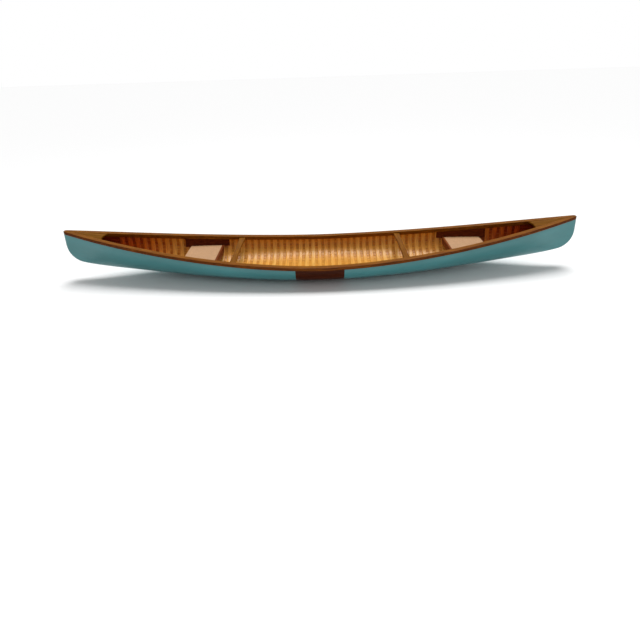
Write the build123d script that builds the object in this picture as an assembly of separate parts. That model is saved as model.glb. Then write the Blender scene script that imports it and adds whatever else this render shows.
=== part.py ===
from build123d import *
import os
from math import cos, hypot, pi, sin, sqrt

# Display canoe in ribbed and planked wood, in millimetres.
# Origin: on the table under the middle of the boat. X runs along the boat, bow at -X, stern at +X.
# Y runs across it, port at -Y and starboard at +Y, and Z is up.

# ---- overall form ----
LENGTH = 1524.0            # stem to stem at the gunwale
BEAM = 268.0               # over the outwales amidships
DEPTH_MIDDLE = 67.0        # bottom to top of gunwale amidships
DEPTH_ENDS = 152.0         # bottom to top of gunwale at the stems
ROCKER = 27.0              # rise of the keel line at the ends, without the forefoot
FOREFOOT = 57.0            # further rise of the long forefoot
STEM_ROUND = 30.0          # last rise of the rounded stem
STEM_WIDTH = 6.0           # width of the painted stem face
PLAN_POWER = 1.85          # plan outline: larger is fuller towards the ends
SHEER_POWER = 1.75         # larger keeps the sheer low for longer
ROCKER_POWER = 1.35
ROCKER_START = 0.145       # share of the half length that stands flat
FOREFOOT_START = 0.31      # share of the half length where the forefoot begins
FOREFOOT_POWER = 3.0       # larger turns the forefoot more sharply
ROUND_START = 0.955        # share of the half length where the stem's rounding begins
STEM_LEAN = 0.13           # outward lean of the stems below the gunwale, per unit of depth
LEAN_START = 0.87          # share of the half length where the lean begins
FULL_MIDDLE = 2.9          # section amidships: 2 is an ellipse, larger is boxier
FULL_ENDS = 1.17           # section at the stems: 1 is a straight V
FULL_POWER = 1.5

# ---- hull shell ----
SKIN = 1.5                 # painted outer skin
PLANK = 3.0                # planking under it
PLANKS_PER_SIDE = 11
SEAM = 0.25                # gap between neighbouring planks
RIB_THICK = 2.4
RIB_WIDTH = 13.0
RIB_PITCH = 21.1
RIBS_END = 614.0           # the outermost ribs stand inside this distance
BAND_LENGTH = 140.0        # bare wood band amidships
STEM_BLOCK = 32.0          # length of each solid stem block
INWALE_SHORT = 11.0        # the inwales end this far inside the stem face
FIT = 0.10                 # clearance between curved pieces that lie on each other

# ---- gunwales, decks and thwarts ----
OUTWALE_THICK = 7.0
OUTWALE_TIP = 3.5
TAPER_START = 0.80         # share of the half length where the outwales begin to taper
OUTWALE_HEIGHT = 9.0
INWALE_THICK = 7.0
INWALE_HEIGHT = 11.0
GUNWALE_LIP = 2.0          # the outwale's rabbet covers the top edge of skin and planking
DECK_BOW_LENGTH = 116.0    # stem face to the corners of the deck's inner edge
DECK_STERN_LENGTH = 126.0
DECK_THICK = 5.0
DECK_HOLLOW = 3.0          # depth of the curve in the deck's inner edge
THWART_PLACE = 251.0       # from amidships to each thwart
THWART_WIDTH = 20.0
THWART_WAIST = 15.0        # width at the middle of the thwart
THWART_THICK = 6.0
THWART_DROP = 2.5          # top of thwart below the gunwale top
DOWEL_RADIUS = 1.5
DOWEL_BITE = 12.0          # length of dowel inside the thwart

# ---- seats ----
SEAT_BOW = (-412.0, -311.0)
SEAT_STERN = (394.0, 503.0)
SEAT_DROP = 29.5           # seat top below the gunwale, at the seat's middle
SEAT_SLOPE = 0.065         # rise towards the near stem, per unit length
SEAT_FRONT_WIDTH = 6.0     # inner cross rail, level with the woven panel
SEAT_FRONT_HEIGHT = 20.0
SEAT_RAIL_WIDTH = 9.0      # side rails and outer cross rail, under the woven panel
SEAT_RAIL_HEIGHT = 10.0
SEAT_WEAVE = 3.0
SEAT_BOARD_THICK = 4.0
SEAT_BOARD_REACH = 17.0    # how far the side boards run past the seat at each end

HALF = LENGTH / 2
HULL_HALF = BEAM / 2 - OUTWALE_THICK
PLANK_OUT = SKIN + FIT
PLANK_IN = PLANK_OUT + PLANK
RIB_OUT = PLANK_IN + FIT
RIB_IN = RIB_OUT + RIB_THICK
BOARD_OUT = RIB_IN + FIT
BOARD_IN = BOARD_OUT + SEAT_BOARD_THICK
BLOCK_START = HALF - STEM_BLOCK


# ---- the form of the hull ----
def share(x):
    return min(1.0, abs(x) / HALF)


def sheer(x):
    return DEPTH_MIDDLE + (DEPTH_ENDS - DEPTH_MIDDLE) * share(x) ** SHEER_POWER


def keel(x):
    rise = max(0.0, share(x) - ROCKER_START) / (1 - ROCKER_START)
    curl = max(0.0, share(x) - FOREFOOT_START) / (1 - FOREFOOT_START)
    curl = 1 - max(0.0, 1 - curl ** FOREFOOT_POWER) ** (1 / FOREFOOT_POWER)
    turn = max(0.0, share(x) - ROUND_START) / (1 - ROUND_START)
    turn = 1 - sqrt(1 - turn ** 2)
    return ROCKER * rise ** ROCKER_POWER + FOREFOOT * curl + STEM_ROUND * turn


def breadth(x):
    return STEM_WIDTH / 2 + (HULL_HALF - STEM_WIDTH / 2) * (1 - share(x) ** PLAN_POWER)


def fullness(x):
    return FULL_MIDDLE + (FULL_ENDS - FULL_MIDDLE) * share(x) ** FULL_POWER


def outline(x, inset, y_from=0.0, top=0.0, steps=160):
    """Half section at x, from the keel up to `top` below the sheer, moved inwards by inset."""
    half, low, high, power = breadth(x), keel(x), sheer(x), 2 / fullness(x)
    raw = []
    for i in range(steps + 1):
        angle = pi / 2 * i / steps
        raw.append((half * sin(angle) ** power, high - (high - low) * cos(angle) ** power))
    moved = []
    for i, (y, z) in enumerate(raw):
        before, after = raw[max(0, i - 1)], raw[min(steps, i + 1)]
        dy, dz = after[0] - before[0], after[1] - before[1]
        size = hypot(dy, dz)
        moved.append((y - inset * dz / size, z + inset * dy / size))
    if raw[1][0] > raw[1][1] - low:
        moved[0] = (0.0, low + inset)
    moved[-1] = (half - inset, high)
    kept = cut(moved, 0, y_from, keep_above=True)
    return cut(kept, 1, high - top, keep_above=False)


def cut(points, axis, level, keep_above):
    """The stretch of a rising run of points that lies above, or below, a level of one coordinate."""
    kept = []
    for a, b in zip(points, points[1:]):
        if (a[axis] - level) * (b[axis] - level) < 0:
            part = (level - a[axis]) / (b[axis] - a[axis])
            cross = (a[0] + part * (b[0] - a[0]), a[1] + part * (b[1] - a[1]))
            kept = [cross, b] if keep_above else [p for p in kept if p[axis] < level] + [cross]
            if not keep_above:
                return kept
        elif (b[axis] >= level) if keep_above else (b[axis] <= level):
            kept = kept + [b] if kept else [a, b]
    return kept


def even(points, count, start=0.0, stop=1.0):
    """Points spaced evenly along a run, between two shares of its length."""
    lengths = [0.0]
    for a, b in zip(points, points[1:]):
        lengths.append(lengths[-1] + hypot(b[0] - a[0], b[1] - a[1]))
    spaced = []
    i = 0
    for k in range(count):
        want = lengths[-1] * (start + (stop - start) * k / (count - 1))
        while i < len(points) - 2 and lengths[i + 1] < want:
            i += 1
        part = (want - lengths[i]) / (lengths[i + 1] - lengths[i])
        a, b = points[i], points[i + 1]
        spaced.append((a[0] + part * (b[0] - a[0]), a[1] + part * (b[1] - a[1])))
    return spaced


def side_at(x, inset, z):
    """Distance of the offset hull side from the centre plane at height z."""
    points = outline(x, inset)
    return cut(points, 1, z, keep_above=False)[-1][0]


# ---- ways to make a piece from its sections ----
def stations(start, stop, step=4.5, clear=2.0):
    """Places along the boat, closer together towards the stems, as on a lines plan."""
    count = round(180 / step)
    places = [HALF * sin(pi * (i / count - 0.5)) for i in range(count + 1)]
    return [start] + [x for x in places if start + clear < x < stop - clear] + [stop]


def section_point(x, y, z):
    """A point of the section at x: near the stems the sections lean outwards below the gunwale."""
    near_stem = max(0.0, share(x) - LEAN_START) / (1 - LEAN_START)
    lean = STEM_LEAN * near_stem ** 2 * (sheer(x) - z)
    return Vector(x + (lean if x > 0 else -lean), y, z)


def ring(x, runs):
    """A closed face at x: each run is a list of (y, z) points, joined end to end."""
    edges = []
    for i, run in enumerate(runs):
        points = [section_point(x, y, z) for y, z in run]
        edges.append(Spline(*points) if len(points) > 2 else Line(*points))
        gap_from, gap_to = run[-1], runs[(i + 1) % len(runs)][0]
        if hypot(gap_from[0] - gap_to[0], gap_from[1] - gap_to[1]) > 1e-6:
            edges.append(Line(section_point(x, *gap_from), section_point(x, *gap_to)))
    return Face(Wire(edges))


def mirrored(run):
    return [(-y, z) for y, z in reversed(run)]


def shell_face(x, outer_inset, inner_inset, top=0.0, count=11):
    """Section of a layer that goes from gunwale to gunwale round the keel."""
    outer = even(outline(x, outer_inset, top=top), count)
    inner = even(outline(x, inner_inset, top=top), count)
    return ring(x, [mirrored(outer), outer, list(reversed(inner)), [(-y, z) for y, z in inner]])


def strip_face(x, side, outer_run, inner_run):
    outer = [(side * y, z) for y, z in outer_run]
    inner = [(side * y, z) for y, z in reversed(inner_run)]
    return ring(x, [outer, inner])


def polygon_face(x, corners, side=1):
    """A straight-edged section; side -1 mirrors it to port."""
    if side < 0:
        corners = [(-y, z) for y, z in reversed(corners)]
    return ring(x, [[a, b] for a, b in zip(corners, corners[1:] + corners[:1])])


# ---- hull shell ----
def skin(start, stop):
    return loft([shell_face(x, 0.0, SKIN, GUNWALE_LIP) for x in stations(start, stop)])


def plank(side, index):
    start, stop = index / PLANKS_PER_SIDE, (index + 1) / PLANKS_PER_SIDE
    faces = []
    for x in stations(-BLOCK_START + FIT, BLOCK_START - FIT):
        outer = outline(x, PLANK_OUT, y_from=SEAM / 2, top=GUNWALE_LIP)
        inner = outline(x, PLANK_IN, y_from=SEAM / 2, top=GUNWALE_LIP)
        seam = SEAM / 2 / girth(outer)
        low = start + (seam if index else 0.0)
        high = stop - (seam if index < PLANKS_PER_SIDE - 1 else 0.0)
        faces.append(strip_face(x, side, even(outer, 5, low, high), even(inner, 5, low, high)))
    return loft(faces)


def girth(points):
    return sum(hypot(b[0] - a[0], b[1] - a[1]) for a, b in zip(points, points[1:]))


def rib(place):
    top = INWALE_HEIGHT + FIT
    places = [place - RIB_WIDTH / 2, place, place + RIB_WIDTH / 2]
    return loft([shell_face(x, RIB_OUT, RIB_IN, top, count=9) for x in places])


def rib_places():
    count = int(RIBS_END // RIB_PITCH)
    return [i * RIB_PITCH for i in range(-count, count + 1)]


def stem_block(end):
    """Solid wood that fills the skin at one stem; end is -1 at the bow and 1 at the stern."""
    faces = []
    for x in stations(BLOCK_START, HALF):
        run = even(outline(x, PLANK_OUT, top=INWALE_HEIGHT + FIT), 9)
        faces.append(ring(end * x, [mirrored(run), run]))
    return loft(faces)


# ---- gunwales and decks ----
def outwale_thickness(x):
    taper = max(0.0, share(x) - TAPER_START) / (1 - TAPER_START)
    return OUTWALE_THICK - (OUTWALE_THICK - OUTWALE_TIP) * taper ** 2


def outwale(side):
    """Outer rail, with a lip that covers the top edge of the hull as far as the inwale."""
    faces = []
    for x in stations(-HALF, HALF):
        inner, lip = breadth(x) + FIT, max(FIT, breadth(x) - PLANK_IN)
        outer = inner + outwale_thickness(x) - FIT
        low, step, high = sheer(x) - OUTWALE_HEIGHT, sheer(x) - GUNWALE_LIP + FIT, sheer(x)
        corners = [(inner, low), (outer, low), (outer, high), (lip, high), (lip, step), (inner, step)]
        faces.append(polygon_face(x, corners, side))
    return loft(faces)


def inwale_faces(x):
    """Outer and inner distances of the inwale from the centre plane."""
    outer = breadth(x) - PLANK_IN - FIT
    return outer, max(FIT, outer - INWALE_THICK)


def inwale_room(x):
    """How far the inwale's outer face has to stand in, so that it clears the planking below."""
    return min(side_at(x, PLANK_IN + FIT, sheer(x) - INWALE_HEIGHT), breadth(x) - PLANK_IN - FIT)


def inwale(side):
    faces = []
    for x in stations(INWALE_SHORT - HALF, HALF - INWALE_SHORT):
        outer, inner = inwale_faces(x)
        foot = inwale_room(x)
        low, high = sheer(x) - INWALE_HEIGHT, sheer(x)
        faces.append(polygon_face(x, [(inner, low), (foot, low), (outer, high), (inner, high)], side))
    body = loft(faces)
    for place in (-THWART_PLACE, THWART_PLACE):
        body -= dowel(place, side)
    return body


def deck(end):
    length = DECK_BOW_LENGTH if end < 0 else DECK_STERN_LENGTH
    start, stop = HALF - length, BLOCK_START - FIT
    faces = []
    for x in stations(start, stop):
        half = inwale_faces(x)[1] - FIT
        half = max(half, FIT)
        low, high = sheer(x) - DECK_THICK, sheer(x)
        faces.append(polygon_face(end * x, [(-half, low), (half, low), (half, high), (-half, high)]))
    body = loft(faces)
    half = inwale_faces(start)[1]
    radius = (half ** 2 + DECK_HOLLOW ** 2) / (2 * DECK_HOLLOW)
    cutter = Cylinder(radius, 4 * DEPTH_ENDS)
    return body - cutter.moved(Location((end * (start + DECK_HOLLOW - radius), 0, 0)))


# ---- thwarts ----
def thwart_top(place):
    return sheer(place) - THWART_DROP


def thwart(place):
    half = inwale_faces(abs(place) + THWART_WIDTH / 2)[1] - FIT
    top = thwart_top(abs(place) - THWART_WIDTH / 2)
    edge = [(THWART_WIDTH / 2, -half), (THWART_WAIST / 2, 0), (THWART_WIDTH / 2, half)]
    right = Spline(*[(place + x, y, top) for x, y in edge])
    left = Spline(*[(place - x, -y, top) for x, y in edge])
    ends = [Line(right @ 1, left @ 0), Line(left @ 1, right @ 0)]
    face = Face(Wire([right, ends[0], left, ends[1]]))
    body = Solid.extrude(face, Vector(0, 0, -THWART_THICK))
    for side in (-1, 1):
        body -= dowel(place, side)
    return body


def dowel(place, side):
    outer = inwale_room(abs(place)) - FIT
    inner = inwale_faces(abs(place))[1] - DOWEL_BITE
    z = thwart_top(abs(place) - THWART_WIDTH / 2) - THWART_THICK / 2
    pin = Cylinder(DOWEL_RADIUS, outer - inner, rotation=(90, 0, 0))
    return pin.moved(Location((place, side * (outer + inner) / 2, z)))


# ---- seats ----
def seat_top(span, x):
    middle = sum(span) / 2
    end = 1 if middle > 0 else -1
    return sheer(middle) - SEAT_DROP + SEAT_SLOPE * end * (x - middle)


def seat_frame_top(span, x):
    """Top of the rails that carry the woven panel."""
    return seat_top(span, x) - SEAT_WEAVE - FIT


def trapezoid(x, inset, low, top):
    """Section across the boat whose ends lean with the offset hull side."""
    wide, narrow = side_at(x, inset, top), side_at(x, inset, low)
    return polygon_face(x, [(-narrow, low), (narrow, low), (wide, top), (-wide, top)])


def seat_front_rail(span):
    """Inner cross rail, between the side boards and level with the woven panel."""
    start, _ = seat_front(span)
    faces = []
    for x in (start, start + SEAT_FRONT_WIDTH / 2, start + SEAT_FRONT_WIDTH):
        top = seat_top(span, x)
        faces.append(trapezoid(x, BOARD_IN + FIT, top - SEAT_FRONT_HEIGHT, top))
    return loft(faces)


def seat_outer_rail(span):
    """Outer cross rail, under the woven panel, with its ends on the ribs."""
    start = span[0] if span[0] < 0 else span[1] - SEAT_RAIL_WIDTH
    faces = []
    for x in (start, start + SEAT_RAIL_WIDTH / 2, start + SEAT_RAIL_WIDTH):
        top = seat_frame_top(span, x)
        faces.append(trapezoid(x, RIB_IN + FIT, top - SEAT_RAIL_HEIGHT, top))
    return loft(faces)


def seat_front(span):
    """The places along the boat of the inner cross rail's two faces."""
    start = span[1] - SEAT_FRONT_WIDTH if span[0] < 0 else span[0]
    return start, start + SEAT_FRONT_WIDTH


def seat_panel_span(span, outer_gap):
    """Stretch between the inner cross rail and the outer end, less a gap at the outer end."""
    start, stop = seat_front(span)
    return (span[0] + outer_gap, start - FIT) if span[0] < 0 else (stop + FIT, span[1] - outer_gap)


def seat_side_rail(span, side):
    faces = []
    start, stop = seat_panel_span(span, SEAT_RAIL_WIDTH)
    for i in range(5):
        x = start + (stop - start) * i / 4
        top = seat_frame_top(span, x)
        low = top - SEAT_RAIL_HEIGHT
        wide, narrow = side_at(x, RIB_IN + FIT, top), side_at(x, RIB_IN + FIT, low)
        inner = wide - SEAT_RAIL_WIDTH
        faces.append(polygon_face(x, [(inner, low), (narrow, low), (wide, top), (inner, top)], side))
    return loft(faces)


def seat_board(span, side):
    """Spacer board between the inwale and the seat frame, leaning with the ribs."""
    faces = []
    start, stop = span[0] - SEAT_BOARD_REACH, span[1] + SEAT_BOARD_REACH
    for i in range(7):
        x = start + (stop - start) * i / 6
        high, low = sheer(x) - INWALE_HEIGHT - FIT, seat_frame_top(span, x) + FIT
        runs = []
        for inset in (BOARD_OUT, BOARD_IN):
            run = cut(outline(x, inset), 1, low, keep_above=True)
            runs.append(even(cut(run, 1, high, keep_above=False), 4))
        faces.append(strip_face(x, side, runs[0], runs[1]))
    return loft(faces)


def seat_weave(span):
    """Woven panel on the seat frame; its top is a plane that leans with the seat."""
    start, stop = seat_panel_span(span, 0.0)
    edge = []
    for i in range(5):
        x = start + (stop - start) * i / 4
        top = seat_top(span, x)
        edge.append(Vector(x, side_at(x, BOARD_IN + FIT, top - SEAT_WEAVE), top))
    port = [Vector(p.X, -p.Y, p.Z) for p in edge]
    sides = [Spline(*edge), Spline(*port)]
    ends = [Line(edge[0], port[0]), Line(edge[-1], port[-1])]
    face = Face(Wire([sides[0], ends[1], sides[1], ends[0]]))
    return Solid.extrude(face, Vector(0, 0, -SEAT_WEAVE))


# ---- assembly ----
def ribs_between(start, stop):
    return Compound([rib(place) for place in rib_places() if start < place <= stop])


def seat_pieces(name, span):
    pieces = {
        name + "_front_rail": seat_front_rail(span),
        name + "_outer_rail": seat_outer_rail(span),
        name + "_weave": seat_weave(span),
    }
    for side, word in ((-1, "port"), (1, "starboard")):
        pieces[name + "_side_rail_" + word] = seat_side_rail(span, side)
        pieces[name + "_board_" + word] = seat_board(span, side)
    return pieces


def all_pieces():
    band = BAND_LENGTH / 2
    pieces = {
        "skin_bow": skin(-HALF, -band),
        "centre_band": skin(-band, band),
        "skin_stern": skin(band, HALF),
        "stem_bow": stem_block(-1),
        "stem_stern": stem_block(1),
        "ribs_bow": ribs_between(-HALF, -THWART_PLACE),
        "ribs_middle": ribs_between(-THWART_PLACE, THWART_PLACE),
        "ribs_stern": ribs_between(THWART_PLACE, HALF),
        "deck_bow": deck(-1),
        "deck_stern": deck(1),
        "thwart_bow": thwart(-THWART_PLACE),
        "thwart_stern": thwart(THWART_PLACE),
    }
    for side, word in ((-1, "port"), (1, "starboard")):
        pieces["outwale_" + word] = outwale(side)
        pieces["inwale_" + word] = inwale(side)
        for index in range(PLANKS_PER_SIDE):
            pieces[f"plank_{word}_{index + 1:02d}"] = plank(side, index)
    places = [(place, side) for place in (-THWART_PLACE, THWART_PLACE) for side in (-1, 1)]
    pieces["thwart_dowels"] = Compound([dowel(place, side) for place, side in places])
    pieces.update(seat_pieces("bow_seat", SEAT_BOW))
    pieces.update(seat_pieces("stern_seat", SEAT_STERN))
    return pieces


os.makedirs("parts", exist_ok=True)
for node, piece in all_pieces().items():
    export_step(piece, f"parts/{node}.step")
    print(node, round(piece.volume))
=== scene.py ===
"""Looks for the display canoe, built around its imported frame.

Metres. X runs along the boat with the bow at -X, port is -Y, Z is up. Every visible piece is lofted
from the same hull form as the frame, and its size and place come from the frame's own boxes.
"""
import random
from functools import lru_cache
from math import cos, hypot, pi, radians, sin, sqrt

import bmesh
import bpy
from mathutils import Matrix, Vector


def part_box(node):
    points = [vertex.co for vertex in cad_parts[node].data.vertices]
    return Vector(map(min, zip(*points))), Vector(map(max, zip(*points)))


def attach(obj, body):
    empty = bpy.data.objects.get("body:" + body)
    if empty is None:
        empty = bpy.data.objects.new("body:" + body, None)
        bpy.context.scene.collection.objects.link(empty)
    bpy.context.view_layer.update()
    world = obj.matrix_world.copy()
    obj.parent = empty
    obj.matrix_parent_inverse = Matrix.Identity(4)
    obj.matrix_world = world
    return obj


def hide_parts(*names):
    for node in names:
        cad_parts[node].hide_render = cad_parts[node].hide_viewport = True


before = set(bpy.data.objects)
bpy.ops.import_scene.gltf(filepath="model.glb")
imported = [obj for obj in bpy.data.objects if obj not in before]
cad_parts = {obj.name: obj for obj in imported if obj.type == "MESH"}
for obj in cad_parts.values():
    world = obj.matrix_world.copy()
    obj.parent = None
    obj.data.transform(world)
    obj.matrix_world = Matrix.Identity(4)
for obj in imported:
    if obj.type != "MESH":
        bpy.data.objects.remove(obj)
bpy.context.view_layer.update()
random.seed(7)

MM = 0.001

# ---- hull layers, as the frame has them ----
FIT = 0.1 * MM
SKIN = 1.5 * MM
PLANK = 3.0 * MM
RIB_THICK = 2.4 * MM
RIB_WIDTH = 13.0 * MM
RIB_PITCH = 21.1 * MM
RIB_CROWN = 0.35 * MM
RIB_EASE = 0.9 * MM            # width of the eased edges
RIBS_END = 614.0 * MM
SEAM = 0.3 * MM
SEAM_EASE = 0.5 * MM           # width and depth of the eased plank edges
SEAM_DEPTH = 0.45 * MM
PLANKS_PER_SIDE = 11
GUNWALE_LIP = 2.0 * MM         # how far the rabbet of the outer rail is below the sheer
OUTWALE_HEIGHT = 9.0 * MM
OUTWALE_TIP = 3.5 * MM         # thickness at the stems
OUTWALE_SHORT = 3.0 * MM       # how far the rails stop before the stems
OUTWALE_ROUND = 7.0 * MM       # length over which their tips round off
TAPER_START = 0.80
INWALE_THICK = 7.0 * MM
INWALE_HEIGHT = 11.0 * MM
INWALE_SHORT = 11.0 * MM
DECK_THICK = 5.0 * MM
DECK_HOLLOW = 3.0 * MM
DECK_CROWN = 1.0 * MM
BAR_EASE = 0.15 * MM           # how much the thwarts and cross rails narrow at their ends
THWART_WAIST = 0.75            # share of the end width that is left in the middle
THWART_RADII = (1.6 * MM, 1.6 * MM, 2.2 * MM, 2.2 * MM)
STEM_WIDTH = 6.0 * MM
NOSE = 5.0 * MM                # length over which the painted stem rounds off
NOSE_CUTS = (0.3, 0.55, 0.75, 0.88, 0.96, 0.99, 0.998)
GROOVE_WIDTH = 0.5 * MM        # between the paint and the band amidships
GROOVE_DEPTH = 0.3 * MM
SEAT_WEAVE = 3.0 * MM
CANE_PITCH = 2.3 * MM
CANE_WIDTH = 1.95 * MM
CANE_THICK = 0.7 * MM
CANE_WAVE = 0.42 * MM          # how far a strip rises and falls as it passes the others
SEAT_BOARD_THICK = 4.0 * MM
SEAT_RAIL_WIDTH = 9.0 * MM
SEAT_RAIL_HEIGHT = 10.0 * MM
FRONT_RAIL_HEIGHT = 20.0 * MM

# ---- the form of the hull ----
LENGTH = 1524.0 * MM           # stem to stem at the gunwale
STEM_BLOCK = 32.0 * MM
PLAN_POWER = 1.85
SHEER_POWER = 1.75
ROCKER = 27.0 * MM
ROCKER_POWER = 1.35
ROCKER_START = 0.145
FOREFOOT = 57.0 * MM
STEM_ROUND = 30.0 * MM
FOREFOOT_START = 0.31
FOREFOOT_POWER = 3.0
ROUND_START = 0.955
STEM_LEAN = 0.128
LEAN_START = 0.87
FULL_MIDDLE = 2.9
FULL_ENDS = 1.17
FULL_POWER = 1.5

# ---- tone of the wood, with painted shade and painted light: above 1 is darker and richer ----
SHADE_START = 420.0 * MM       # where the painted shade inside begins to darken the wood towards the stems
SHADE_FULL = 640.0 * MM
SHADE_AT_ENDS = 1.7            # painted shade added to the tone there
SHADE_AT_TOP = 0.3             # painted shade added under the gunwales
# painted shade: the gunwales are painted darker towards the stems
RAIL_SHADE_START = 250.0 * MM
RAIL_END_SHADE = 0.1
# painted light: the gunwales' sides are painted in shade and their tops painted lighter
OUTWALE_SHADED_SIDE_TONE = 1.4
INWALE_SHADED_SIDE_TONE = 1.2
RAIL_LIT_TOP_TONE = 1.08
RAIL_EDGE = 0.5 * MM           # width over which the painted light on the top of the gunwales fades out
RAIL_LIT_REACH = 5.0 * MM           # how far the painted light on the top reaches outside the hull
FRONT_RAIL_TONE = 0.75

# ---- how finely the pieces are cut ----
OUTLINE_STEPS = 120
SKIN_STATIONS = 200
PLANK_STATIONS = 150
RAIL_STATIONS = 220
BLOCK_STATIONS = 170
SKIN_RUN = 36                  # points from keel to gunwale
RIB_RUN = 26
BLOCK_RUN = 20
BOARD_RUN = 8

# ---- places that follow ----
HALF = LENGTH / 2
BLOCK_START = HALF - STEM_BLOCK
DEPTH_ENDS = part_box("outwale_port")[1].z
DEPTH_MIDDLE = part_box("inwale_port")[0].z + INWALE_HEIGHT
HULL_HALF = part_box("centre_band")[1].y
OUTWALE_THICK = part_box("outwale_starboard")[1].y - HULL_HALF
BAND_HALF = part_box("centre_band")[1].x

PLANK_OUT = SKIN + FIT
PLANK_IN = PLANK_OUT + PLANK
RIB_OUT = PLANK_IN + FIT
RIB_IN = RIB_OUT + RIB_THICK
BOARD_OUT = RIB_IN + FIT
BOARD_IN = BOARD_OUT + SEAT_BOARD_THICK


def clamp(value):
    return min(1.0, max(0.0, value))


def share(x):
    return min(1.0, abs(x) / HALF)


def beyond(x, start):
    """How far x is past a share of the half length: 0 at start, 1 at the stem."""
    return max(0.0, share(x) - start) / (1 - start)


def sheer(x):
    return DEPTH_MIDDLE + (DEPTH_ENDS - DEPTH_MIDDLE) * share(x) ** SHEER_POWER


def keel(x):
    """Height of the bottom: an even rocker, the long forefoot and the rounded stem."""
    rise = beyond(x, ROCKER_START) ** ROCKER_POWER
    curl = beyond(x, FOREFOOT_START) ** FOREFOOT_POWER
    curl = 1 - max(0.0, 1 - curl) ** (1 / FOREFOOT_POWER)
    turn = 1 - sqrt(1 - beyond(x, ROUND_START) ** 2)
    return ROCKER * rise + FOREFOOT * curl + STEM_ROUND * turn


def breadth(x):
    return STEM_WIDTH / 2 + (HULL_HALF - STEM_WIDTH / 2) * (1 - share(x) ** PLAN_POWER)


def fullness(x):
    return FULL_MIDDLE + (FULL_ENDS - FULL_MIDDLE) * share(x) ** FULL_POWER


@lru_cache(maxsize=None)
def outline(x, inset, top=0.0, bottom=None):
    """Half section at x from the keel to `top` below the sheer, moved inwards by inset."""
    half, low, high, power = breadth(x), keel(x), sheer(x), 2 / fullness(x)
    raw = []
    for i in range(OUTLINE_STEPS + 1):
        angle = pi / 2 * i / OUTLINE_STEPS
        raw.append((half * sin(angle) ** power, high - (high - low) * cos(angle) ** power))
    moved = []
    for i, (y, z) in enumerate(raw):
        before, after = raw[max(0, i - 1)], raw[min(OUTLINE_STEPS, i + 1)]
        dy, dz = after[0] - before[0], after[1] - before[1]
        size = hypot(dy, dz)
        moved.append((y - inset * dz / size, z + inset * dy / size))
    if raw[1][0] > raw[1][1] - low:  # a flat bottom, so its first point moves straight up
        moved[0] = (0.0, low + inset)
    moved[-1] = (half - inset, high)
    kept = cut(moved, 0, 0.0, keep_above=True)
    if bottom is not None:
        kept = cut(kept, 1, bottom, keep_above=True)
    return tuple(cut(kept, 1, high - top, keep_above=False))


def cut(points, axis, level, keep_above):
    """The stretch of a rising run of points above, or below, a level of one coordinate."""
    kept = []
    for a, b in zip(points, points[1:]):
        if (a[axis] - level) * (b[axis] - level) < 0:
            part = (level - a[axis]) / (b[axis] - a[axis])
            cross = (a[0] + part * (b[0] - a[0]), a[1] + part * (b[1] - a[1]))
            if not keep_above:
                return [p for p in kept if p[axis] < level] + [cross]
            kept = [cross, b]
        elif (b[axis] >= level) if keep_above else (b[axis] <= level):
            kept = kept + [b] if kept else [a, b]
    return kept


def at_shares(points, shares):
    """Points at given shares of a run's length."""
    lengths = [0.0]
    for a, b in zip(points, points[1:]):
        lengths.append(lengths[-1] + hypot(b[0] - a[0], b[1] - a[1]))
    spaced = []
    i = 0
    for want in (lengths[-1] * s for s in shares):
        while i < len(points) - 2 and lengths[i + 1] < want:
            i += 1
        part = (want - lengths[i]) / max(1e-12, lengths[i + 1] - lengths[i])
        a, b = points[i], points[i + 1]
        spaced.append((a[0] + part * (b[0] - a[0]), a[1] + part * (b[1] - a[1])))
    return spaced


def girth(points):
    return sum(hypot(b[0] - a[0], b[1] - a[1]) for a, b in zip(points, points[1:]))


def even(count, start=0.0, stop=1.0):
    return [start + (stop - start) * i / (count - 1) for i in range(count)]


def side_at(x, inset, z):
    """Half breadth of the hull at height z, moved inwards by inset."""
    return cut(outline(x, inset), 1, z, keep_above=False)[-1][0]


def both_sides(x, run):
    """A half section from the keel up, continued over the centre line to the port side."""
    run = [(0.0, run[0][1])] + run[1:]
    return [(x, -y, z) for y, z in reversed(run[1:])] + [(x, y, z) for y, z in run]


def stations(start, stop, count):
    """Places along the boat, closer together towards the stems."""
    places = [HALF * sin(pi * (i / count - 0.5)) for i in range(count + 1)]
    clear = 0.4 * MM
    return [start] + [x for x in places if start + clear < x < stop - clear] + [stop]


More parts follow.
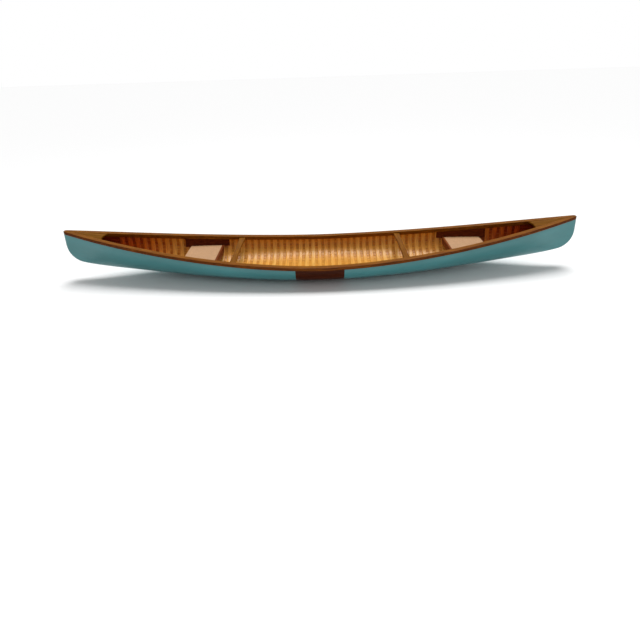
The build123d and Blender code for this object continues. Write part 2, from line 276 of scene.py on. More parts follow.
# ---- mesh building ----
class Builder:
    """Collects faces with a grain vector and a tone for every point, then makes one mesh object."""

    def __init__(self):
        self.points = []
        self.grain = []
        self.tone = []
        self.faces = []

    def add(self, point, grain, tone):
        """Near the stems the whole boat leans outwards below the gunwale."""
        x, y, z = point
        lean = STEM_LEAN * beyond(x, LEAN_START) ** 2 * (sheer(x) - z)
        self.points.append((x + (lean if x > 0 else -lean), y, z))
        self.grain.append(tuple(grain))
        self.tone.append(tone)
        return len(self.points) - 1

    def tube(self, rings, grains, tone):
        """Closed rings of equal size joined one to the next, with flat ends."""
        own = tone if callable(tone) else lambda point: tone
        rows = [[self.add(p, g, own(p)) for p, g in zip(*pair)] for pair in zip(rings, grains)]
        size = len(rows[0])
        for a, b in zip(rows, rows[1:]):
            for i in range(size):
                j = (i + 1) % size
                self.faces.append((a[i], a[j], b[j], b[i]))
        self.faces.append(tuple(reversed(rows[0])))
        self.faces.append(tuple(rows[-1]))

    def shell(self, sections, tone, grain=None):
        """A curved board: each section has an outer and an inner run of equal size."""
        own = tone if callable(tone) else lambda point: tone
        outer_rows, inner_rows = [], []
        for outer, inner in sections:
            for run, rows in ((outer, outer_rows), (inner, inner_rows)):
                marks = [grain(p, i) for i, p in enumerate(run)] if grain else run
                rows.append([self.add(p, g, own(p)) for p, g in zip(run, marks)])
        count = len(outer_rows[0])
        for k in range(len(sections) - 1):
            a, b, c, d = outer_rows[k], outer_rows[k + 1], inner_rows[k], inner_rows[k + 1]
            for i in range(count - 1):
                self.faces.append((a[i], a[i + 1], b[i + 1], b[i]))
                self.faces.append((c[i + 1], c[i], d[i], d[i + 1]))
            self.faces.append((a[0], b[0], d[0], c[0]))
            self.faces.append((b[-1], a[-1], c[-1], d[-1]))
        a, b, c, d = outer_rows[0], outer_rows[-1], inner_rows[0], inner_rows[-1]
        for i in range(count - 1):
            self.faces.append((a[i + 1], a[i], c[i], c[i + 1]))
            self.faces.append((b[i], b[i + 1], d[i + 1], d[i]))

    def finish(self, name, slot, node=None, sharp=40.0):
        """Makes the mesh object in the slot's material; it stands in for the frame's node."""
        mesh = bpy.data.meshes.new(name)
        mesh.from_pydata(self.points, [], self.faces)
        grain = mesh.attributes.new("grain", "FLOAT_VECTOR", "POINT")
        grain.data.foreach_set("vector", [v for g in self.grain for v in g])
        tone = mesh.attributes.new("tone", "FLOAT", "POINT")
        tone.data.foreach_set("value", self.tone)
        mesh.validate()
        mesh.update()
        mesh.materials.append(MATERIALS[slot])
        work = bmesh.new()
        work.from_mesh(mesh)
        bmesh.ops.recalc_face_normals(work, faces=work.faces)
        work.to_mesh(mesh)
        work.free()
        mesh.shade_smooth()
        mesh.set_sharp_from_angle(angle=radians(sharp))
        thing = bpy.data.objects.new(name, mesh)
        bpy.context.scene.collection.objects.link(thing)
        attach(thing, "root")
        if node:
            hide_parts(node)
        return thing


def rounded(corners, radii, steps=4):
    """A closed polygon of (u, v) corners with each corner rounded by its own radius."""
    points = []
    for i, (corner, radius) in enumerate(zip(corners, radii)):
        before, after = Vector(corners[i - 1]), Vector(corners[(i + 1) % len(corners)])
        here = Vector(corner)
        one, two = before - here, after - here
        room = min(radius, 0.45 * one.length, 0.45 * two.length)
        if room < 0.02 * MM:
            points.append(tuple(here))
            continue
        start, stop = here + one.normalized() * room, here + two.normalized() * room
        for k in range(steps + 1):
            t = k / steps
            point = start * (1 - t) ** 2 + here * 2 * t * (1 - t) + stop * t ** 2
            points.append(tuple(point))
    return points


def tone_near(middle, spread):
    """A tone of its own for one piece."""
    return middle + random.uniform(-spread, spread)


# ---- materials ----
def new_material(name):
    material = bpy.data.materials.new(name)
    material.use_nodes = True
    nodes = material.node_tree.nodes
    return material, nodes, material.node_tree.links, nodes["Principled BSDF"]


def srgb(r, g, b):
    """Linear colour from 0 to 255 display values."""
    values = [v / 255 for v in (r, g, b)]
    return tuple(v / 12.92 if v <= 0.04 else ((v + 0.055) / 1.055) ** 2.4 for v in values)


def set_inputs(node, values):
    for name, value in values.items():
        node.inputs[name].default_value = value


def mesh_value(nodes, name):
    """A value that every mesh carries at its points."""
    node = nodes.new("ShaderNodeAttribute")
    node.attribute_name = name
    return node


def grain_noise(nodes, links, stretch, **settings):
    """Noise in the mesh's own grain space, with a scale along the grain and one across it."""
    along, across = stretch
    source = mesh_value(nodes, "grain")
    place = nodes.new("ShaderNodeMapping")
    set_inputs(place, {"Scale": (along, across, across)})
    noise = nodes.new("ShaderNodeTexNoise")
    set_inputs(noise, {"Scale": 1.0, **settings})
    links.new(source.outputs["Vector"], place.inputs["Vector"])
    links.new(place.outputs["Vector"], noise.inputs["Vector"])
    return noise.outputs["Fac"]


def ramp(nodes, links, value, stops):
    """Colours along a value, from (position, colour) stops."""
    node = nodes.new("ShaderNodeValToRGB")
    elements = node.color_ramp.elements
    while len(elements) < len(stops):
        elements.new(0.5)
    for element, (position, colour) in zip(elements, stops):
        element.position = position
        element.color = (*colour, 1)
    links.new(value, node.inputs["Fac"])
    return node.outputs["Color"]


def map_range(nodes, links, value, low, high, start=0.0, stop=1.0):
    """A value between start and stop, carried over to the range from low to high."""
    node = nodes.new("ShaderNodeMapRange")
    set_inputs(node, {"From Min": start, "From Max": stop, "To Min": low, "To Max": high})
    links.new(value, node.inputs["Value"])
    return node.outputs["Result"]


def scaled(nodes, links, colour, factor):
    node = nodes.new("ShaderNodeVectorMath")
    node.operation = "SCALE"
    links.new(colour, node.inputs[0])
    links.new(factor, node.inputs["Scale"])
    return node.outputs["Vector"]


def bump(nodes, links, shader, height, strength, distance):
    node = nodes.new("ShaderNodeBump")
    set_inputs(node, {"Strength": strength, "Distance": distance})
    links.new(height, node.inputs["Height"])
    links.new(node.outputs["Normal"], shader.inputs["Normal"])


def wood(name, dark, mid, light, figure=8.0, gloss=0.15, pores=0.25, rough=0.35):
    """Varnished wood whose grain runs along the first part of the mesh's grain vector.

    The mesh's tone is a gamma: above 1 the wood is darker and richer; it carries random differences
    between pieces and painted shade."""
    material, nodes, links, shader = new_material(name)
    rings = grain_noise(nodes, links, (figure, figure * 14), Scale=1.6, Detail=5.0,
                        Roughness=0.62, Distortion=0.6)
    fine = grain_noise(nodes, links, (22, 900), Detail=3.0)
    colours = ramp(nodes, links, rings, [(0.28, dark), (0.5, mid), (0.72, light)])
    pore_shade = map_range(nodes, links, fine, 1.0 - pores, 1.0, 0.35, 0.6)
    # gamma from the mesh's tone: random differences between pieces and painted shade
    tone_and_shade_gamma = nodes.new("ShaderNodeGamma")
    links.new(scaled(nodes, links, colours, pore_shade), tone_and_shade_gamma.inputs["Color"])
    links.new(mesh_value(nodes, "tone").outputs["Fac"], tone_and_shade_gamma.inputs["Gamma"])
    links.new(tone_and_shade_gamma.outputs["Color"], shader.inputs["Base Color"])
    links.new(map_range(nodes, links, fine, rough + 0.08, rough - 0.05), shader.inputs["Roughness"])
    bump(nodes, links, shader, fine, 0.12, 0.2 * MM)
    set_inputs(shader, {"Specular IOR Level": gloss, "Coat Weight": gloss,
                        "Coat Roughness": 0.22, "Coat IOR": 1.4})
    return material


def paint(name, colour, shadow):
    """Brushed gloss paint: slight shade drift and a soft ripple."""
    material, nodes, links, shader = new_material(name)
    drift = grain_noise(nodes, links, (5, 16), Detail=4.0)
    ripple = grain_noise(nodes, links, (60, 420), Detail=2.0)
    colours = ramp(nodes, links, drift, [(0.3, shadow), (0.7, colour)])
    links.new(colours, shader.inputs["Base Color"])
    links.new(map_range(nodes, links, drift, 0.26, 0.38), shader.inputs["Roughness"])
    bump(nodes, links, shader, ripple, 0.06, 0.3 * MM)
    set_inputs(shader, {"Specular IOR Level": 0.35, "Coat Weight": 0.15, "Coat Roughness": 0.1})
    return material


def cane(name, dark, light):
    """Woven cane: each strand slightly different, with a fibrous streak along it."""
    material, nodes, links, shader = new_material(name)
    streak = grain_noise(nodes, links, (60, 1800), Detail=3.0)
    colours = ramp(nodes, links, streak, [(0.25, dark), (0.7, light)])
    tone = mesh_value(nodes, "tone").outputs["Fac"]
    links.new(scaled(nodes, links, colours, tone), shader.inputs["Base Color"])
    bump(nodes, links, shader, streak, 0.2, 0.2 * MM)
    set_inputs(shader, {"Roughness": 0.5, "Sheen Weight": 0.15})
    return material


MATERIALS = {
    "hull_paint": paint("turquoise paint", srgb(70, 135, 138), srgb(60, 120, 122)),
    "band_wood": wood(
        "band veneer", srgb(48, 16, 4), srgb(66, 25, 7), srgb(82, 34, 11), figure=9, gloss=0.05),
    "planking_wood": wood("planking", srgb(188, 121, 36), srgb(208, 143, 50), srgb(220, 157, 64)),
    "rib_wood": wood(
        "bent ribs", srgb(211, 147, 52), srgb(227, 165, 72), srgb(239, 181, 90), figure=10, gloss=0.22),
    "gunwale_wood": wood(
        "gunwales", srgb(112, 66, 10), srgb(141, 88, 17), srgb(166, 109, 28), pores=0.35, gloss=0.05),
    "deck_wood": wood(
        "decks", srgb(92, 53, 2), srgb(112, 68, 5), srgb(132, 86, 10), figure=12, gloss=0.03),
    "thwart_wood": wood(
        "thwarts", srgb(104, 58, 2), srgb(124, 74, 5), srgb(144, 92, 10), figure=14, gloss=0.05),
    "stem_wood": wood(
        "stem blocks", srgb(86, 46, 16), srgb(112, 64, 26), srgb(132, 80, 36), figure=16),
    "seat_wood": wood(
        "seat frames", srgb(62, 18, 4), srgb(84, 29, 6), srgb(104, 42, 10), figure=14, gloss=0.04),
    "dowel_wood": wood(
        "dowels", srgb(140, 96, 50), srgb(165, 118, 66), srgb(185, 138, 84), figure=14),
    "seat_weave": cane("cane", srgb(166, 120, 76), srgb(202, 156, 106)),
}


# ---- hull shell ----
def nose_scale(x):
    """Share of the half breadth that is left where the stem rounds off."""
    return sqrt(1 - clamp((abs(x) - (HALF - NOSE)) / NOSE) ** 2)


def skin_section(x, sunk=0.0):
    """Outer and inner run of the skin, the outer one sunk where the skin meets the band."""
    scale = nose_scale(x)
    both = []
    for inset in (sunk, SKIN):
        run = at_shares(outline(x, inset, GUNWALE_LIP), even(SKIN_RUN))
        both.append(both_sides(x, [(y * scale, z) for y, z in run]))
    return both


def skin(name, node, slot, start, stop):
    """A length of the hull skin: rounded off at a stem, with half a groove at the band."""
    work = Builder()
    places = stations(start, stop, SKIN_STATIONS)
    nose = [HALF - NOSE * (1 - s) for s in NOSE_CUTS]
    if stop > HALF - NOSE:
        places = [x for x in places if x <= HALF - NOSE] + nose
    if start < NOSE - HALF:
        places = [-x for x in reversed(nose)] + [x for x in places if x >= NOSE - HALF]
    sections = [skin_section(x) for x in places]
    if start > NOSE - HALF:
        sections[:1] = [skin_section(start, GROOVE_DEPTH), skin_section(start + GROOVE_WIDTH)]
    if stop < HALF - NOSE:
        sections[-1:] = [skin_section(stop - GROOVE_WIDTH), skin_section(stop, GROOVE_DEPTH)]
    work.shell(sections, 1.0)
    return work.finish(name, slot, node)


def inner_painted_shade(point):
    """Painted shade: the wood inside the hull is painted darker and redder towards the stems and under
    the gunwales.
    """
    x, z = point[0], point[2]
    near = clamp((abs(x) - SHADE_START) / (SHADE_FULL - SHADE_START))
    up = clamp((z - keel(x)) / (sheer(x) - keel(x)))
    return 1 + SHADE_AT_ENDS * near * near * (3 - 2 * near) + SHADE_AT_TOP * up * (1 - near)


def plank(side, word, index):
    """One strip of planking, with its long inner edges eased so that the seams read."""
    start, stop = index / PLANKS_PER_SIDE, (index + 1) / PLANKS_PER_SIDE
    sections = []
    for x in stations(-BLOCK_START + FIT, BLOCK_START - FIT, PLANK_STATIONS):
        outer_line = outline(x, PLANK_OUT, GUNWALE_LIP)
        inner_line = outline(x, PLANK_IN, GUNWALE_LIP)
        eased_line = outline(x, PLANK_IN - SEAM_DEPTH, GUNWALE_LIP)
        seam, soft = SEAM / 2 / girth(outer_line), SEAM_EASE / girth(outer_line)
        low, high = start + seam, stop - seam
        mid = even(4, low + soft, high - soft)
        outer = at_shares(outer_line, [low] + mid + [high])
        inner = at_shares(inner_line, mid)
        inner = at_shares(eased_line, [low]) + inner + at_shares(eased_line, [high])
        sections.append([[(x, side * y, z) for y, z in run] for run in (outer, inner)])
    work = Builder()
    shift = random.uniform(0, 9)
    pitch = girth(outline(0.0, PLANK_IN)) / PLANKS_PER_SIDE

    def grain(point, i):
        return (point[0] + shift, (i / 5 + index) * pitch, shift)

    own = tone_near(1.0, 0.08)
    # random tone per strip, times the painted shade inside the hull
    work.shell(sections, lambda point: own * inner_painted_shade(point), grain)
    node = f"plank_{word}_{index + 1:02d}"
    return work.finish(node + "_strip", "planking_wood", node, 25)


def rib_into(work, middle):
    """A bent rib with a crowned inner face and eased edges, from gunwale to gunwale."""
    top = INWALE_HEIGHT + FIT
    offsets = [-RIB_WIDTH / 2 + RIB_EASE * d for d in (0, 0.15, 0.5, 1)]
    offsets += [-0.2 * RIB_WIDTH, 0.0, 0.2 * RIB_WIDTH] + [-d for d in reversed(offsets)]
    tone, shift = tone_near(1.0, 0.09), random.uniform(0, 9)
    sections = []
    for d in offsets:
        near_edge = max(0.0, 1 - (RIB_WIDTH / 2 - abs(d)) / RIB_EASE)
        crown = RIB_CROWN * (2 * d / RIB_WIDTH) ** 2
        thick = RIB_THICK - crown - (RIB_THICK - crown) * 0.4 * near_edge ** 2.2
        x = middle + d
        both = []
        for inset in (RIB_OUT, RIB_OUT + thick):
            both.append(both_sides(x, at_shares(outline(x, inset, top), even(RIB_RUN))))
        sections.append(both)

    def grain(point, i):
        return (i * 7.5 * MM + shift, point[0], shift)

    # random tone per rib, times the painted shade inside the hull
    work.shell(sections, lambda point: tone * inner_painted_shade(point), grain)


def ribs(node, start, stop):
    """All ribs between two places, in one mesh."""
    work = Builder()
    count = int(RIBS_END // RIB_PITCH)
    for i in range(-count, count + 1):
        if start < i * RIB_PITCH <= stop:
            rib_into(work, i * RIB_PITCH)
    return work.finish(node + "_bent", "rib_wood", node, 30)


def stem_block(end, node):
    """Solid block inside an end, lower where the rails pass over it."""
    work = Builder()
    rings = []
    for x in stations(BLOCK_START, HALF - NOSE / 2, BLOCK_STATIONS):
        top = GUNWALE_LIP if x > HALF - INWALE_SHORT / 2 else INWALE_HEIGHT + FIT
        run = at_shares(outline(x, PLANK_OUT, top), even(BLOCK_RUN))
        scale = nose_scale(x)
        rings.append(both_sides(end * x, [(y * scale, z) for y, z in run]))
    work.tube(rings, [[(p[2], p[0], p[1]) for p in ring] for ring in rings], 1.0)
    return work.finish(node + "_block", "stem_wood", node)


# ---- gunwales and decks ----
def rail_painted_light(shaded_side_tone):
    """Painted light on the gunwales: tops, inboard of their outer edge, are painted lighter, sides are
    painted in shade, and painted shade darkens the ends.
    """
    def own(point):
        x, y, z = point
        # painted highlight: the top faces are painted lighter than the shaded sides
        lit_top = clamp(1 - (sheer(x) - z) / RAIL_EDGE)
        lit_top *= clamp((breadth(x) + RAIL_LIT_REACH - abs(y)) / RAIL_EDGE)
        # painted shade that grows towards the ends
        near = clamp((abs(x) - RAIL_SHADE_START) / (SHADE_FULL - RAIL_SHADE_START))
        side = shaded_side_tone + RAIL_END_SHADE * near
        return side + (RAIL_LIT_TOP_TONE - side) * lit_top

    return own


def long_bar(name, node, slot, side, places, section, tone):
    """A rail along the boat; section(x) gives rounded (y, z) points on the starboard side."""
    work = Builder()
    shift = random.uniform(0, 9)
    rings = [[(x, side * y, z) for y, z in section(x)] for x in places]
    grains = [[(x + shift, side * y + shift, z - sheer(x)) for x, y, z in ring] for ring in rings]
    work.tube(rings, grains, tone)
    return work.finish(name, slot, node, 50)


def outwale_section(x):
    """Outer rail with a rabbet over the top edge of the hull."""
    thick = OUTWALE_THICK - (OUTWALE_THICK - OUTWALE_TIP) * beyond(x, TAPER_START) ** 2
    inner, lip = breadth(x) + FIT, max(FIT, breadth(x) - PLANK_IN)
    outer = breadth(x) + thick
    low, step, high = sheer(x) - OUTWALE_HEIGHT, sheer(x) - GUNWALE_LIP + FIT, sheer(x)
    past = clamp((abs(x) - (HALF - OUTWALE_SHORT - OUTWALE_ROUND)) / OUTWALE_ROUND)
    outer -= (outer - inner) * 0.9 * (1 - sqrt(1 - past ** 2))
    corners = [(inner, low), (outer, low), (outer, high), (lip, high), (lip, step), (inner, step)]
    return rounded(corners, [0.5 * MM, 1.8 * MM, 2.2 * MM, 0.3 * MM, 0.1 * MM, 0.1 * MM])


def inwale_section(x):
    """Inner rail against the planking, with its foot along the lean of the hull."""
    outer = breadth(x) - PLANK_IN - FIT
    inner = max(FIT, outer - INWALE_THICK)
    low, high = sheer(x) - INWALE_HEIGHT, sheer(x)
    foot = min(side_at(x, PLANK_IN + FIT, low), outer)
    corners = [(inner, low), (foot, low), (outer, high), (inner, high)]
    return rounded(corners, [1.4 * MM, 0.3 * MM, 0.3 * MM, 1.6 * MM])


def deck(end, node):
    """Thin triangular plate between the inwales, crowned, with a hollow, rounded inner edge."""
    low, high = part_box(node)
    start, tip = min(abs(low.x), abs(high.x)), BLOCK_START - FIT
    across, along, ease = 25, 40, 1.4 * MM
    rows = [ease * (1 - cos(pi / 2 * k / 5)) for k in range(6)]
    sections = []

    def half_at(x):
        return max(FIT, breadth(x) - PLANK_IN - 2 * FIT - INWALE_THICK)

    def row(advance, drop):
        top_run, under_run = [], []
        for i in range(across):
            w = 2 * i / (across - 1) - 1
            edge = start + DECK_HOLLOW * (1 - w * w)
            x = edge + advance * (tip - edge)
            y = w * half_at(x)
            z = sheer(x) - DECK_CROWN * w * w * min(1.0, half_at(x) / (20 * MM)) - 0.05 * MM
            top_run.append((end * x, y, z - drop))
            under_run.append((end * x, y, sheer(x) - DECK_THICK + drop * 0.3))
        return top_run, under_run

    span = tip - start
    for advance in rows:
        sections.append(row(advance / span, ease - sqrt(max(0.0, ease ** 2 - (ease - advance) ** 2))))
    for k in range(1, along + 1):
        sections.append(row(rows[-1] / span + (1 - rows[-1] / span) * k / along, 0.0))
    work = Builder()
    work.shell(sections, 1.0, lambda p, i: (p[0] + 3 * end, p[1], p[2] * 0.2))
    return work.finish(node + "_plate", "deck_wood", node, 50)


# ---- thwarts ----
def thwart(node):
    """Flat bar, narrower at the middle, with well rounded edges."""
    low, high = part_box(node)
    middle, half_length = (low.x + high.x) / 2, high.y
    end_width = (high.x - low.x) / 2
    waist = THWART_WAIST * end_width
    rings, grains = [], []
    for y in even(41, -half_length, half_length):
        inset = BAR_EASE if abs(y) > half_length - 0.1 * MM else 0.0
        half = waist + (end_width - waist) * (y / half_length) ** 2 - inset
        corners = [(-half, low.z), (half, low.z), (half, high.z), (-half, high.z)]
        section = rounded(corners, THWART_RADII, steps=5)
        rings.append([(middle + u, y, v) for u, v in section])
        grains.append([(y + 5 * middle, u + 2, v) for u, v in section])
    work = Builder()
    work.tube(rings, grains, tone_near(1.0, 0.04))
    return work.finish(node + "_bar", "thwart_wood", node, 50)


# ---- seats ----
def seat_plane(node):
    """Height of the woven panel's top as a function of x, from its box: it leans with the sheer."""
    low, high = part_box(node)
    near_stem = low.x if low.x < 0 else high.x
    far_end = high.x if low.x < 0 else low.x
    slope = (high.z - low.z - SEAT_WEAVE) / (near_stem - far_end)
    return lambda x: high.z + slope * (x - near_stem)


def cross_rail(node, inset, drop, tall, tone):
    """Cross member whose ends lean with the hull side; its top is `drop` below the panel's."""
    low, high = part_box(node)
    middle, half = (low.x + high.x) / 2, (high.x - low.x) / 2
    plane = seat_plane(node.rsplit("_", 2)[0] + "_weave")
    rings, grains = [], []
    for s in even(13, -1.0, 1.0):
        ease = BAR_EASE if abs(s) > 0.99 else 0.0
        corners = [(-half + ease, -tall), (half - ease, -tall), (half - ease, 0.0), (-half + ease, 0.0)]
        ring = []
        for u, v in rounded(corners, [0.8 * MM] * 4):
            z = plane(middle + u) - drop + v
            ring.append((middle + u, s * side_at(middle + u, inset, z), z))
        rings.append(ring)
        grains.append([(p[1], p[0], p[2]) for p in ring])
    work = Builder()
    work.tube(rings, grains, tone_near(tone, 0.08))
    return work.finish(node + "_wood", "seat_wood", node, 50)


def side_rail(node, side):
    """Part of the seat frame along the board, under the edge of the woven panel."""
    low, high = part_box(node)
    plane = seat_plane(node.rsplit("_", 3)[0] + "_weave")

    def section(x):
        top = plane(x) - SEAT_WEAVE - FIT
        foot = top - SEAT_RAIL_HEIGHT
        wide, narrow = side_at(x, BOARD_OUT, top), side_at(x, BOARD_OUT, foot)
        inner = wide - SEAT_RAIL_WIDTH
        corners = [(inner, foot), (narrow, foot), (wide, top), (inner, top)]
        return rounded(corners, [1.0 * MM, 0.2 * MM, 0.4 * MM, 1.0 * MM])

    places = even(9, low.x, high.x)
    return long_bar(node + "_wood", node, "seat_wood", side, places, section, tone_near(1.0, 0.08))


def seat_board(node, side):
    """Thin board that leans on the ribs between the inwale and the seat frame."""
    low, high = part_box(node)
    plane = seat_plane(node.rsplit("_", 2)[0] + "_weave")
    sections = []
    edge = 1.2 * MM
    ends = [0.0, 0.3, 0.65, 1.0]
    places = [low.x + edge * t for t in ends]
    places += even(18, low.x + 4 * MM, high.x - 4 * MM) + [high.x - edge * t for t in reversed(ends)]
    for x in places:
        near = max(0.0, 1 - min(x - low.x, high.x - x) / edge)
        foot = plane(x) - SEAT_WEAVE
        runs = []
        for inset in (BOARD_OUT, BOARD_IN - edge * 0.8 * near ** 2):
            run = at_shares(outline(x, inset, INWALE_HEIGHT + FIT, foot), even(BOARD_RUN))
            runs.append([(x, side * y, z) for y, z in run])
        sections.append(runs)
    work = Builder()
    work.shell(sections, tone_near(0.95, 0.06))
    return work.finish(node + "_wood", "seat_wood", node, 30)


def strand(work, path, sideways, tone, shift):
    """A flat, slightly domed strip of cane along a path."""
    shape = [(-0.5, 0.0), (-0.3, 0.4), (0.3, 0.4), (0.5, 0.0), (0.3, -0.4), (-0.3, -0.4)]
    shape = [(a * CANE_WIDTH, b * CANE_THICK) for a, b in shape]
    rings, grains = [], []
    gone = 0.0
    for k, point in enumerate(path):
        if k:
            gone += (point - path[k - 1]).length
        rings.append([point + sideways * a + Vector((0, 0, b)) for a, b in shape])
        grains.append([(gone + shift, a + shift, b) for a, b in shape])
    work.tube(rings, grains, tone)


def weave(node):
    """Plain weave of fine cane strips, cut to the seat's outline, on a thin backing."""
    low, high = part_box(node)
    plane = seat_plane(node)
    deep = CANE_THICK / 2 + CANE_WAVE + 0.1 * MM

    def half(x):
        return side_at(x, BOARD_IN + FIT, plane(x) - SEAT_WEAVE)

    def reach(y):
        """How far along the boat the panel is at least y wide."""
        xs = [x for x in even(60, low.x, high.x) if half(x) >= abs(y) + 0.4 * MM]
        return (min(xs), max(xs)) if xs else None

    work = Builder()
    crosswise = int((high.x - low.x) / CANE_PITCH)
    for i in range(crosswise):
        x = low.x + (i + 0.5) * (high.x - low.x) / crosswise
        count = 2 * int(half(x) / CANE_PITCH * 2)
        path = []
        for k in range(count + 1):
            y = half(x) * (2 * k / count - 1) * 0.995
            lift = CANE_WAVE * cos(pi * (y / CANE_PITCH + i))
            path.append(Vector((x, y, plane(x) - deep + lift)))
        strand(work, path, Vector((1, 0, 0)), tone_near(1.0, 0.06), random.uniform(0, 5))
    lengthwise = int(half(low.x if low.x > 0 else high.x) / CANE_PITCH)
    for j in range(-lengthwise, lengthwise + 1):
        y = j * CANE_PITCH
        ends = reach(y)
        if not ends or ends[1] - ends[0] < 3 * CANE_PITCH:
            continue
        count = max(4, int((ends[1] - ends[0]) / CANE_PITCH * 2))
        path = []
        for k in range(count + 1):
            x = ends[0] + (ends[1] - ends[0]) * k / count
            phase = (x - low.x) / ((high.x - low.x) / crosswise) - 0.5
            lift = -CANE_WAVE * cos(pi * (phase + j))
            path.append(Vector((x, y, plane(x) - deep + lift)))
        strand(work, path, Vector((0, 1, 0)), tone_near(1.0, 0.06), random.uniform(0, 5))
    return work.finish(node + "_cane", "seat_weave", node, 60)


def weave_backing(node):
    """The thin board under the cane, inside the panel's own outline."""
    low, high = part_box(node)
    plane = seat_plane(node)
    sections = []
    for x in even(14, low.x + 0.3 * MM, high.x - 0.3 * MM):
        half = side_at(x, BOARD_IN + FIT, plane(x) - SEAT_WEAVE) - 0.3 * MM
        ys = even(12, -half, half)
        top, foot = plane(x) - 1.75 * MM, plane(x) - SEAT_WEAVE + FIT
        sections.append(([(x, y, top) for y in ys], [(x, y, foot) for y in ys]))
    work = Builder()
    work.shell(sections, 0.8)
    return work.finish(node + "_backing", "seat_wood", sharp=50)


# ---- the whole boat ----
def build_boat():
    skin("painted_skin_bow", "skin_bow", "hull_paint", -HALF, -BAND_HALF)
    skin("wood_band", "centre_band", "band_wood", -BAND_HALF, BAND_HALF)
    skin("painted_skin_stern", "skin_stern", "hull_paint", BAND_HALF, HALF)
    stem_block(-1, "stem_bow")
    stem_block(1, "stem_stern")
    thwart_place = sum(corner.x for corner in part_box("thwart_stern")) / 2
    ribs("ribs_bow", -HALF, -thwart_place)
    ribs("ribs_middle", -thwart_place, thwart_place)
    ribs("ribs_stern", thwart_place, HALF)
    for side, word in ((-1, "port"), (1, "starboard")):
        for index in range(PLANKS_PER_SIDE):
            plank(side, word, index)
        rail = stations(OUTWALE_SHORT - HALF, HALF - OUTWALE_SHORT, RAIL_STATIONS)
        # the rails carry painted light: shaded sides and lighter tops
        long_bar("outer_rail_" + word, "outwale_" + word, "gunwale_wood", side, rail, outwale_section,
                 rail_painted_light(OUTWALE_SHADED_SIDE_TONE))
        rail = stations(INWALE_SHORT - HALF, HALF - INWALE_SHORT, RAIL_STATIONS)
        long_bar("inner_rail_" + word, "inwale_" + word, "gunwale_wood", side, rail, inwale_section,
                 rail_painted_light(INWALE_SHADED_SIDE_TONE))
    deck(-1, "deck_bow")
    deck(1, "deck_stern")
    thwart("thwart_bow")
    thwart("thwart_stern")
    for name in ("bow_seat", "stern_seat"):
        cross_rail(name + "_front_rail", BOARD_IN + FIT, 0.0, FRONT_RAIL_HEIGHT, FRONT_RAIL_TONE)
        cross_rail(name + "_outer_rail", BOARD_OUT, SEAT_WEAVE + FIT, SEAT_RAIL_HEIGHT, 1.0)
        for side, word in ((-1, "port"), (1, "starboard")):
            side_rail(name + "_side_rail_" + word, side)
            seat_board(name + "_board_" + word, side)
        weave(name + "_weave")
        weave_backing(name + "_weave")


def finish_dowels():
    """The dowels keep the frame's own shape and only take the wood."""
    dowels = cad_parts["thwart_dowels"]
    dowels.data.materials.clear()
    dowels.data.materials.append(MATERIALS["dowel_wood"])


# ---- stage ----
def floor():
    """White paper under the boat; it belongs to the stage."""
    size = 12.0
    mesh = bpy.data.meshes.new("floor")
    corners = [(-size, -size, 0), (size, -size, 0), (size, size, 0), (-size, size, 0)]
    mesh.from_pydata(corners, [], [(0, 1, 2, 3)])
    thing = bpy.data.objects.new("floor", mesh)
    bpy.context.scene.collection.objects.link(thing)
    material, _, _, shader = new_material("floor_paper")
    set_inputs(shader, {"Base Color": (0.93, 0.93, 0.93, 1), "Roughness": 0.9,
                        "Specular IOR Level": 0.1})
    mesh.materials.append(material)


def area_light(name, place_at, aim, size, power):
    light = bpy.data.lights.new(name, "AREA")
    light.shape = "RECTANGLE"
    light.size, light.size_y = size
    light.energy = power
    thing = bpy.data.objects.new(name, light)
    thing.location = place_at
    thing.rotation_mode = "QUATERNION"
    thing.rotation_quaternion = (Vector(aim) - Vector(place_at)).to_track_quat("-Z", "Y")
    bpy.context.scene.collection.objects.link(thing)


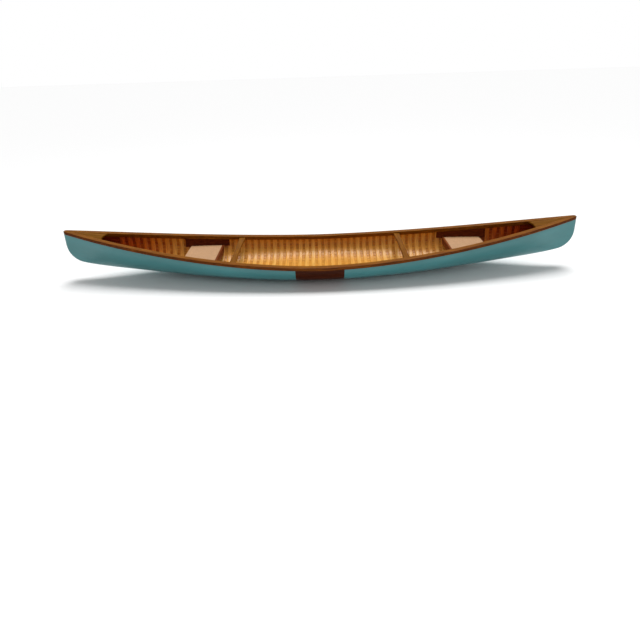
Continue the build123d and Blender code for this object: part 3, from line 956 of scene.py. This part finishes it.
def sun(name, from_up, turned, strength, softness):
    light = bpy.data.lights.new(name, "SUN")
    light.energy = strength
    light.angle = radians(softness)
    thing = bpy.data.objects.new(name, light)
    thing.rotation_euler = (radians(from_up), 0, radians(turned))
    bpy.context.scene.collection.objects.link(thing)


def studio_world():
    """A white backdrop, with the softer light of a dim room on everything else."""
    world = bpy.data.worlds.new("studio")
    world.use_nodes = True
    nodes, links = world.node_tree.nodes, world.node_tree.links
    room = nodes["Background"]
    set_inputs(room, {"Strength": 0.38, "Color": (1, 1, 1, 1)})
    backdrop = nodes.new("ShaderNodeBackground")
    set_inputs(backdrop, {"Color": (1, 1, 1, 1)})
    ray = nodes.new("ShaderNodeLightPath")
    mix = nodes.new("ShaderNodeMixShader")
    links.new(ray.outputs["Is Camera Ray"], mix.inputs["Fac"])
    links.new(room.outputs["Background"], mix.inputs[1])
    links.new(backdrop.outputs["Background"], mix.inputs[2])
    links.new(mix.outputs["Shader"], nodes["World Output"].inputs["Surface"])
    bpy.context.scene.world = world


def lights():
    """A wide soft key from above and behind, and two dim fills."""
    studio_world()
    sun("key", 24, 165, 2.35, 30)
    area_light("overhead_strip", (0.0, 0.25, 1.5), (0, 0, 0), (2.4, 0.3), 6)
    area_light("side_fill", (2.2, -1.6, 0.9), (0.4, 0, 0.05), (1.0, 0.8), 5)


def camera():
    """Looks down on the boat from its port side."""
    data = bpy.data.cameras.new("camera")
    thing = bpy.data.objects.new("camera", data)
    bpy.context.scene.collection.objects.link(thing)
    data.sensor_width = 36.0
    data.lens = 24.07
    data.clip_start, data.clip_end = 0.05, 50
    pitch, yaw, roll = radians(32.14), radians(0.59), radians(1.9)
    thing.location = (0.0071, -1.2277, 0.5835)
    turn = Matrix.Rotation(yaw, 4, "Z") @ Matrix.Rotation(pi / 2 - pitch, 4, "X")
    turn = turn @ Matrix.Rotation(-roll, 4, "Z")
    thing.rotation_mode = "QUATERNION"
    thing.rotation_quaternion = turn.to_quaternion()
    bpy.context.scene.camera = thing
    bpy.context.scene.view_settings.view_transform = "Standard"


build_boat()
finish_dowels()
floor()
lights()
camera()
